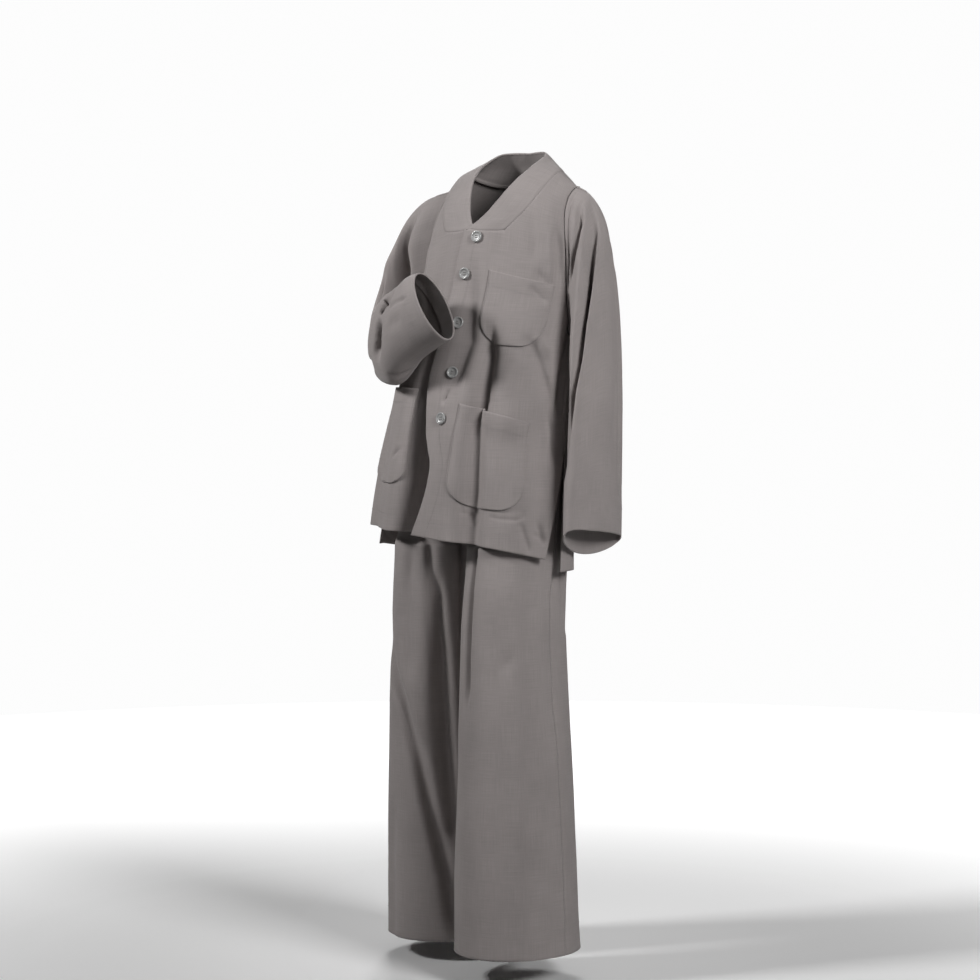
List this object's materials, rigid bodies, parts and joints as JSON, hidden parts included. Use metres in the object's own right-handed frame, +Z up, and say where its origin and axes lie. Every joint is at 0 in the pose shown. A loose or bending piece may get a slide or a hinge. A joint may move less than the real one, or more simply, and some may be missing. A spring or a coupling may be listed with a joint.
{
  "type": "buddhist monk suit",
  "caption": "Worn suit of a buttoned V-collar jacket with wide sleeves and side vents over wide-leg trousers, hollow so that a figure can wear it.",
  "frame": {"origin": "where the wearer's shoulders carry the suit, between the shoulder seams at the base of the neck", "axes": "+Z up the wearer, -Y the way the wearer faces, +X the wearer's left"},
  "size_m": [0.4617, 0.3738, 1.3906],
  "materials": {
    "cloth": "matte warm grey woven poly-cotton",
    "button": "pearly grey"
  },
  "bodies": {
    "root": {"front_left": "cloth", "front_right": "cloth", "back": "cloth", "sleeve_left": "cloth", "sleeve_right": "cloth", "collar": "cloth", "chest_pocket": "cloth", "pocket_left": "cloth", "pocket_right": "cloth", "button_1": "button", "button_2": "button", "button_3": "button", "button_4": "button", "button_5": "button", "trouser_front_left": "cloth", "trouser_back_left": "cloth", "trouser_front_right": "cloth", "trouser_back_right": "cloth", "waistband": "cloth"}
  },
  "joints": []
}
